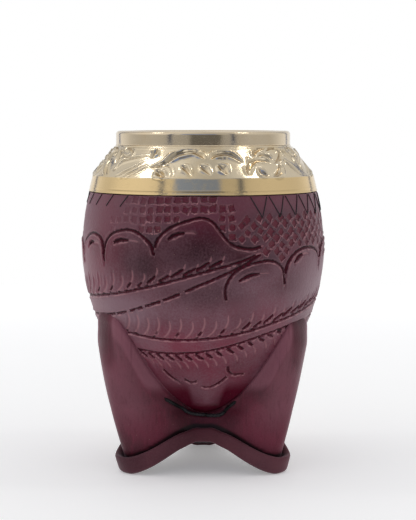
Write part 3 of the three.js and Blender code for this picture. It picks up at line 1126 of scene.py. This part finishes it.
bore = lip_bore - SEAT - SLEEVE_WALL
rim = ring_high[2]
ridges = np.linspace(0, 1, 17)
ring_profile = np.vstack([
    [(ring_high[0] - 0.12, collar_high[2] + 0.02)],
    np.column_stack([
        ring_high[0] - RING_RIDGE * (1 - np.cos(4 * math.pi * ridges)),
        collar_high[2] + 0.15 + (rim - RING_ROUND - collar_high[2] - 0.3) * ridges,
    ]),
    arc((ring_high[0] - RING_ROUND, rim - RING_ROUND), RING_ROUND, 4, 90, 10),
    arc((bore + RING_ROUND, rim - RING_ROUND), RING_ROUND, 90, 180),
    arc((bore + 0.3, ring_low[2] + 0.3), 0.3, 180, 270, 4),
    [
        (bore + SLEEVE_WALL, ring_low[2]),
        (bore + SLEEVE_WALL, rim - RING_WEB),
        (ring_high[0] - RING_WALL, rim - RING_WEB),
        (ring_high[0] - RING_WALL, collar_high[2] + 0.02),
    ],
])
ring = turned("turned_mouth_ring", ring_profile, RING_COLUMNS, closed=True)
ring_finish = brass_look("turned_brass", (0.74, 0.62, 0.45), (0.7, 0.54, 0.33), False)
hand_over(ring, ring_finish, "mouth_ring")

# Base skirt
# A second piece of burgundy leather, wet-moulded into three legs and glued to the jacket.
# Its upper edge is thinned, and rises in a tongue over each leg.
LEG_TURN = NOTCH_STEP / 2
LEG_RISE = 35.2
WAIST_DROP = 33.3
LEG_HALF_ANGLE = 21.3
LEG_SKEW = 2.6
RIGHT_LOWER = 2.2
LEFT_BULGE = 0.9
LEG_EDGE_POWER = 4.5
LEG_ROUND = 14
FOOT_RADIUS = 28.7
FOOT_FLAT = 4
ARCH_FLAT = 6
ARCH_RISE = 11.5
ARCH_POWER = 1.4
VALLEY_START = 36
DRAPE_DEPTH = 9
WAIST_DRAW = 0.05
SKIRT_WALL = 2.2
SKIRT_EDGE = 0.35
SKIVE_WIDTH = 7
EDGE_DEPTH = 3
SKIRT_LIFT = 0.6
SKIRT_COLUMNS = 540

# Rows down the skirt's upper edge, and how far a soft and a crisp edge are rubbed in at each
EDGE_ROWS = np.array([0, 0.08, 0.25, 0.55, 1, 1.6, 2.2, 2.7])
SOFT_EDGE = np.array([-1.15, -1, -0.82, -0.58, -0.34, -0.15, -0.05, 0])
CRISP_EDGE = np.array([-0.66, -0.42, -0.24, -0.1, -0.03, 0, 0, 0])
crown = span("base_skirt")[1][2]
notch = crown - LEG_RISE
waist = crown - WAIST_DROP


def leg_angle(angle):
    """Angle to the middle of the nearest leg, without its sign."""
    return LEG_TURN - notch_angle(angle)


def skirt_top(angle):
    """The hand-cut upper edge: each tongue is wider on one side, and the right one a little lower."""
    skew = np.sin(np.radians(HALF_TURN / NOTCH_STEP * wrapped(angle, NOTCH_STEP)))
    half = LEG_HALF_ANGLE - LEG_SKEW * skew
    rise = LEG_RISE - RIGHT_LOWER * np.maximum(np.cos(np.radians(angle - LEG_TURN)), 0)
    return notch + rise / (1 + (leg_angle(angle) / half) ** LEG_EDGE_POWER)


def welt_foot(angle):
    """Height of the welt's lower edge: level under a foot, and arched between two."""
    share = np.clip((leg_angle(angle) - FOOT_FLAT) / (LEG_TURN - FOOT_FLAT - ARCH_FLAT), 0, 1)
    return ARCH_RISE * np.sin(share * math.pi / 2) ** ARCH_POWER


def skirt_wall(angle, height):
    """The skirt's thickness, skived thin towards its upper edge."""
    return SKIRT_EDGE + (SKIRT_WALL - SKIRT_EDGE) * np.clip((skirt_top(angle) - height) / SKIVE_WIDTH, 0, 1)


def skirt_radius(angle, height):
    """The skirt's outside: snug on the jacket, and drawn out into a rounded leg below each tongue."""
    seat = jacket_radius(np.maximum(height, waist)) + SEAT - WAIST_DRAW * np.maximum(waist - height, 0)
    snug = seat + skirt_wall(angle, height)
    crown_radius = jacket_radius(crown) + SEAT + SKIRT_EDGE
    ridge = FOOT_RADIUS + (crown_radius - FOOT_RADIUS) * np.sin(height / crown * math.pi / 2)
    left = np.maximum(np.cos(np.radians(angle + LEG_TURN)), 0)
    ridge = ridge + LEFT_BULGE * left * np.sin(height / crown * math.pi)
    touch = np.degrees(np.arccos(np.minimum(snug / ridge, 1))) + LEG_ROUND
    away = np.hypot(leg_angle(angle), LEG_ROUND)
    flank = snug / np.cos(np.radians(np.maximum(touch - away, 0)))
    drape = smooth(skirt_top(angle) - height, 0, DRAPE_DEPTH)
    valley = smooth(leg_angle(angle), VALLEY_START, LEG_TURN)
    return snug + (flank - snug) * drape * (1 - valley)


def skirt_point(angle, height, offset):
    """A point on the skirt's outside, moved level and square to its plan."""
    step = 0.05
    ahead = polar(skirt_radius(angle + step, height), angle + step, height)
    behind = polar(skirt_radius(angle - step, height), angle - step, height)
    along = ahead - behind
    along /= np.linalg.norm(along, axis=-1, keepdims=True)
    out = np.stack([along[..., 1], -along[..., 0], np.zeros_like(along[..., 0])], axis=-1)
    return polar(skirt_radius(angle, height), angle, height) + out * np.asarray(offset)[..., None]


def skirt_sections():
    angles = all_round(SKIRT_COLUMNS)
    top = skirt_top(angles)
    foot = welt_foot(angles) + SKIRT_LIFT
    edge = top - EDGE_ROWS
    side = wrapped(angles, NOTCH_STEP)
    crisp = smooth(side, 0, 15) * smooth(side, 58, 40)
    rounding = SOFT_EDGE + (CRISP_EDGE - SOFT_EDGE) * crisp
    body = top - EDGE_DEPTH + (foot - top + EDGE_DEPTH) * np.linspace(0, 1, 44)
    outer = skirt_point(angles, np.hstack([edge, body]), np.hstack([rounding, 0 * body]))
    heights = np.hstack([top, top - 1.5, body[:, ::6]])
    inner = skirt_point(angles, heights, -skirt_wall(angles, heights) - SEAT * 1.5)
    return np.concatenate([outer, inner[:, ::-1]], axis=1)


def smooth_hide_look(name, deep, full, film_colour, film_share, rough, pull):
    """Plain burgundy leather with upright pull marks, and painted shade and sheen where marked."""
    look, tree, shader = new_look(name)
    grain = shared(tree, cowhide, {"Cloud Size": 22.0, "Pore Size": 0.6})
    shade_and_sheen = attribute(tree, "shade_and_sheen")
    streak = noise(stretched(tree, (1, 1, 0.05)), 0.9, 4.0, 0.6)
    colour = tint(grain["Cloud"], deep, full)
    colour = tint(ease(streak, 0.5, 0.72, 0.0, 0.45 * pull), colour, [1.25 * value for value in full])
    # Where the marked value is below nothing it is a painted sheen, and above it painted shade
    colour = tint(grain["Film"] * film_share + ease(shade_and_sheen, 0.0, -1.0), colour, film_colour)
    colour = tint(ease(streak, 0.47, 0.3, 0.0, 0.25 * pull), colour, deep)
    shade_colour = tint(ease(shade_and_sheen, 0.55, 0.95), (0.045, 0.002, 0.008), (0.006, 0.0014, 0.0022))
    colour = tint(shade_and_sheen, colour, shade_colour)
    join(shader, {
        **HIDE_SHEEN,
        "Base Color": tint(grain["Speck"] * 0.35, colour, (0.3, 0.2, 0.16)),
        "Roughness": ease(grain["Film"], 0.0, 1.0, rough, rough + 0.14),
        "Specular IOR Level": 0.2,
        "Normal": bump(grain["Pores"] * 0.5 + streak * (0.8 * pull), 0.1),
    })
    return look


def mark_shade_and_sheen(piece, amount):
    """Stores the painted shade at each point of a piece; below nothing it is a painted sheen."""
    mark(piece.data, "shade_and_sheen", amount(*corners_of(piece)))


WELT_HEIGHT = 6
WELT_THINNING = 0.22


def welt_share(angle):
    """The strap is pared down a little where it arches between two feet."""
    return 1 - WELT_THINNING * smooth(leg_angle(angle), 20, LEG_TURN)


def skirt_shade_and_sheen(angle, radius, z):
    """Painted shade above the welt, in the valleys and up the ridges; painted highlights on legs and edges.
    """
    welt_top = welt_foot(angle) + WELT_HEIGHT * welt_share(angle)
    tall = 0.6 + 0.7 * smooth(leg_angle(angle), 10, 50)
    crevice = 0.95 * smooth(z, welt_top + 2.1 * tall, welt_top + 0.3)
    valley = 0.55 * smooth(leg_angle(angle), 20, 48) * smooth(z, 40, 28)
    ridge = 0.75 * smooth(leg_angle(angle), 11, 2) * smooth(z, 34, 46)
    leg_sheen = smooth(leg_angle(angle), 32, 10) * smooth(z, 8, 24)
    edge = smooth(leg_angle(angle), 4, 10) * smooth(skirt_top(angle) - z, 13, 4) * smooth(z, 26, 34)
    dark = np.maximum.reduce([crevice, valley * (1 - leg_sheen), ridge])
    return dark * (1 - edge) - np.maximum(0.5 * leg_sheen, edge) * (1 - ridge)


skirt_finish = smooth_hide_look(
    "moulded_burgundy_leather",
    deep=(0.048, 0.0035, 0.0105), full=(0.125, 0.0085, 0.027), film_colour=(0.215, 0.074, 0.1),
    film_share=0.2, rough=0.36, pull=1,
)
skirt = ring_of("moulded_skirt", skirt_sections())
mark_shade_and_sheen(skirt, skirt_shade_and_sheen)
hand_over(skirt, skirt_finish, "base_skirt")

# Base welt
# A thick strap of leather glued round the skirt's lower edge, with its corners rubbed round.
# The cup stands on it at the three feet, and it arches up between them.
WELT_WALL = 3
WELT_ROUND = 1.25


def welt_sections():
    angles = all_round(SKIRT_COLUMNS)
    section = np.vstack([
        [(0, WELT_HEIGHT * 0.35), (0.05, WELT_HEIGHT - 1.5)],
        [(0.35, WELT_HEIGHT - 0.9), (0.8, WELT_HEIGHT - 0.4)],
        arc((WELT_WALL - 1.3, WELT_HEIGHT - 1.1), 1.1, 100, 20, 6) + (0.2, 0),
        [(WELT_WALL, WELT_HEIGHT * 0.62), (WELT_WALL, WELT_HEIGHT * 0.4)],
        arc((WELT_WALL - WELT_ROUND, WELT_ROUND), WELT_ROUND, 0, -90, 7),
        [(0.9, 0), (0, 0)],
    ])
    heights = welt_foot(angles) + section[:, 1] * welt_share(angles)
    return skirt_point(angles, heights, SEAT + section[:, 0] + 0 * heights)


welt_finish = smooth_hide_look(
    "strap_leather",
    deep=(0.054, 0.0105, 0.019), full=(0.1, 0.021, 0.033), film_colour=(0.15, 0.07, 0.082),
    film_share=0.3, rough=0.46, pull=0.25,
)
welt = ring_of("foot_welt", welt_sections())


def welt_shade(angle, radius, z):
    """Painted shade where the strap meets the skirt, and on the arches."""
    up = (z - welt_foot(angle)) / welt_share(angle)
    out = radius - skirt_radius(angle, z)
    crevice = 0.95 * smooth(out, 2.1, 0.8) * smooth(up, WELT_HEIGHT - 2, WELT_HEIGHT - 0.9)
    return np.maximum(crevice, 0.5 * smooth(leg_angle(angle), 18, 52))


mark_shade_and_sheen(welt, welt_shade)
hand_over(welt, welt_finish, "base_welt")

# Notch stitches
# In each notch four back stitches of waxed black thread draw the skirt tight against the jacket.
# The thread goes in and out through five holes that lie in a shallow curve.
STITCH_THREAD = 1.15
STITCH_TWIST = 1.6
STITCH_RISE = 2.7
STITCH_HALF_ANGLE = 33
STITCH_TURN = 0.6
STITCH_TILT = 0.9
STITCH_SMILE = 6
STITCH_POWER = 5
STITCH_HOLES = (-1, -0.8, 0.08, 0.8, 1)
stitch_height = ARCH_RISE + WELT_HEIGHT + STITCH_RISE


def in_hole(side, reach):
    """One in the middle of each hole, falling to nothing within about the reach."""
    nearest = np.abs(side[:, None] - np.array(STITCH_HOLES)).min(axis=1)
    return np.exp(-((nearest / reach) ** 2))


def stitch_way(turn):
    """One notch's thread, proud of the leather between two holes and sunk at each."""
    side = np.linspace(-1, 1, 121)
    ends = smooth(np.abs(side), 0.95, 1)
    proud = STITCH_THREAD * (0.36 - 0.4 * in_hole(side, 0.05) - 0.5 * ends)
    height = stitch_height - STITCH_TILT * side + STITCH_SMILE * np.abs(side) ** STITCH_POWER
    return skirt_point(side * STITCH_HALF_ANGLE + STITCH_TURN + turn, height, proud)


def hole_shade(angle, radius, z):
    """Painted shade on the thread where it goes through a hole."""
    return in_hole(wrapped(angle - STITCH_TURN, NOTCH_STEP) / STITCH_HALF_ANGLE, 0.09)


for node, turn in zip(("front_stitch", "right_stitch", "left_stitch"), NOTCH_ANGLES):
    stitch = sewn("sewn_" + node, stitch_way(turn), STITCH_THREAD, STITCH_TWIST)
    mark_shade_and_sheen(stitch, hole_shade)
    hand_over(stitch, thread_finish, node)

# Floor, light and camera
# A plain pale table in a white light tent, with a dark opening at the front and four dim poles.
# The camera looks in through that opening, slightly from above.
FLOOR_HALF = 570
CAMERA_DISTANCE = 535
CAMERA_HEIGHT = 121.4
CAMERA_PITCH = 6.3
FOCAL_PIXELS = 1543.9
PHOTO_HEIGHT = 520
SHIFT_RIGHT = 4.9
SHIFT_UP = 26.8
TENT_POLES = (-143, -44, 40, 143)


def floor_look():
    look, tree, shader = new_look("pale_table")
    where = object_place(tree)
    join(shader, {
        "Base Color": tint(noise(where, 60), (0.9, 0.9, 0.9), (0.93, 0.93, 0.93)),
        "Roughness": 0.75,
        "Specular IOR Level": 0.2,
        # The table glows a little, more so far off: painted light that keeps it white and lightens the cup's
        # shadow
        "Emission Color": (1, 1, 1, 1),
        "Emission Strength": ease(vector("LENGTH", where), 0.05, 0.8, 0.25, 0.45),
    })
    return look


half = FLOOR_HALF * MM
floor_corners = [(-half, -half, 0), (half, -half, 0), (half, half, 0), (-half, half, 0)]
floor_mesh = bpy.data.meshes.new("floor")
floor_mesh.from_pydata(floor_corners, [], [(0, 1, 2, 3)])
floor_mesh.materials.append(floor_look())
floor = place("floor", floor_mesh)


def tent():
    """A white surround with a dark upright opening at the front; the camera itself sees plain white."""
    world = bpy.data.worlds.new("light_tent")
    bpy.context.scene.world = world
    world.use_nodes = True
    tree = world.node_tree
    tree.nodes.clear()
    x, y, rise = axes(add(tree, "ShaderNodeTexCoord", out="Generated"))
    front = calc("ARCTAN2", x, y * -1.0)
    beside = calc("ABSOLUTE", front)

    def turning(value, start, end, low=0.0, high=1.0):
        return ease(value, math.radians(start), math.radians(end), low, high)

    def upright(turn, half):
        """A strip of the tent round an angle from the front."""
        return ease(calc("ABSOLUTE", front - turn) - half, 0.02, -0.02)

    middle = ease(rise, 0.1, 0.3, math.radians(3.5), math.radians(-6))
    opening = upright(middle, ease(rise, 0.1, 0.3, math.radians(20.5), math.radians(24)))
    opening = opening * ease(rise, 0.6, 0.45)
    pole = 0.0
    for turn in TENT_POLES:
        pole = most(pole, upright(math.radians(turn), 0.04))
    pole = pole * ease(rise, 0.8, 0.6)
    light = turning(beside, 20, 75, 0.55, 0.75) * ease(rise, 0.0, 0.35, 0.72, 0.95)
    left = ease(front, 0.4, -0.8, 0.0, 0.3) * ease(rise, 0.08, 0.3) * turning(beside, 120, 95)
    light = light * (left + 1.0)
    back = turning(beside, 95, 140) * ease(rise, 0.3, 0.1)
    light = light + back * (0.9 - light)
    gap = opening * ease(rise, 0.24, 0.34, 0.62, 0.05)
    light = light * (1.0 - gap) * ease(pole, 0.0, 1.0, 1.0, 0.25)
    dim = most(opening * ease(rise, 0.26, 0.33), pole)
    white = tint(dim, (1, 1, 1), (0.42, 0.6, 1.2))
    lit = add(tree, "ShaderNodeBackground", {"Color": white, "Strength": light})
    plain = add(tree, "ShaderNodeBackground", {"Color": (1, 1, 1, 1), "Strength": 1.0})
    seen = add(tree, "ShaderNodeLightPath", out="Is Camera Ray")
    put(tree, "ShaderNodeOutputWorld", {
        "Surface": add(tree, "ShaderNodeMixShader", {0: seen, 1: lit, 2: plain}),
    })


def soft_box(name, spot, aim, size, power):
    """A soft light at a spot, facing its aim."""
    lamp = bpy.data.lights.new(name, "AREA")
    lamp.shape = "RECTANGLE"
    lamp.size, lamp.size_y = size[0] * MM, size[1] * MM
    lamp.energy = power
    made = place(name, lamp)
    made.location = [value * MM for value in spot]
    away = made.location - type(made.location)([value * MM for value in aim])
    made.rotation_euler = away.to_track_quat("Z", "Y").to_euler()


tent()
cup_middle = (0, 0, 60)
soft_box("left_key_light", (-394, -14, 610), cup_middle, (60, 120), 0.15)
soft_box("right_key_light", (343, -60, 643), cup_middle, (70, 120), 0.2)

scene = bpy.context.scene
scene.view_settings.view_transform = "Standard"
camera_data = bpy.data.cameras.new("camera")
camera_data.sensor_width = 36
camera_data.lens = camera_data.sensor_width * FOCAL_PIXELS / PHOTO_HEIGHT
camera_data.shift_x = SHIFT_RIGHT / PHOTO_HEIGHT
camera_data.shift_y = SHIFT_UP / PHOTO_HEIGHT
camera = place("camera", camera_data)
camera.location = (0, -CAMERA_DISTANCE * MM, CAMERA_HEIGHT * MM)
camera.rotation_euler = (math.radians(90 - CAMERA_PITCH), 0, 0)
scene.camera = camera
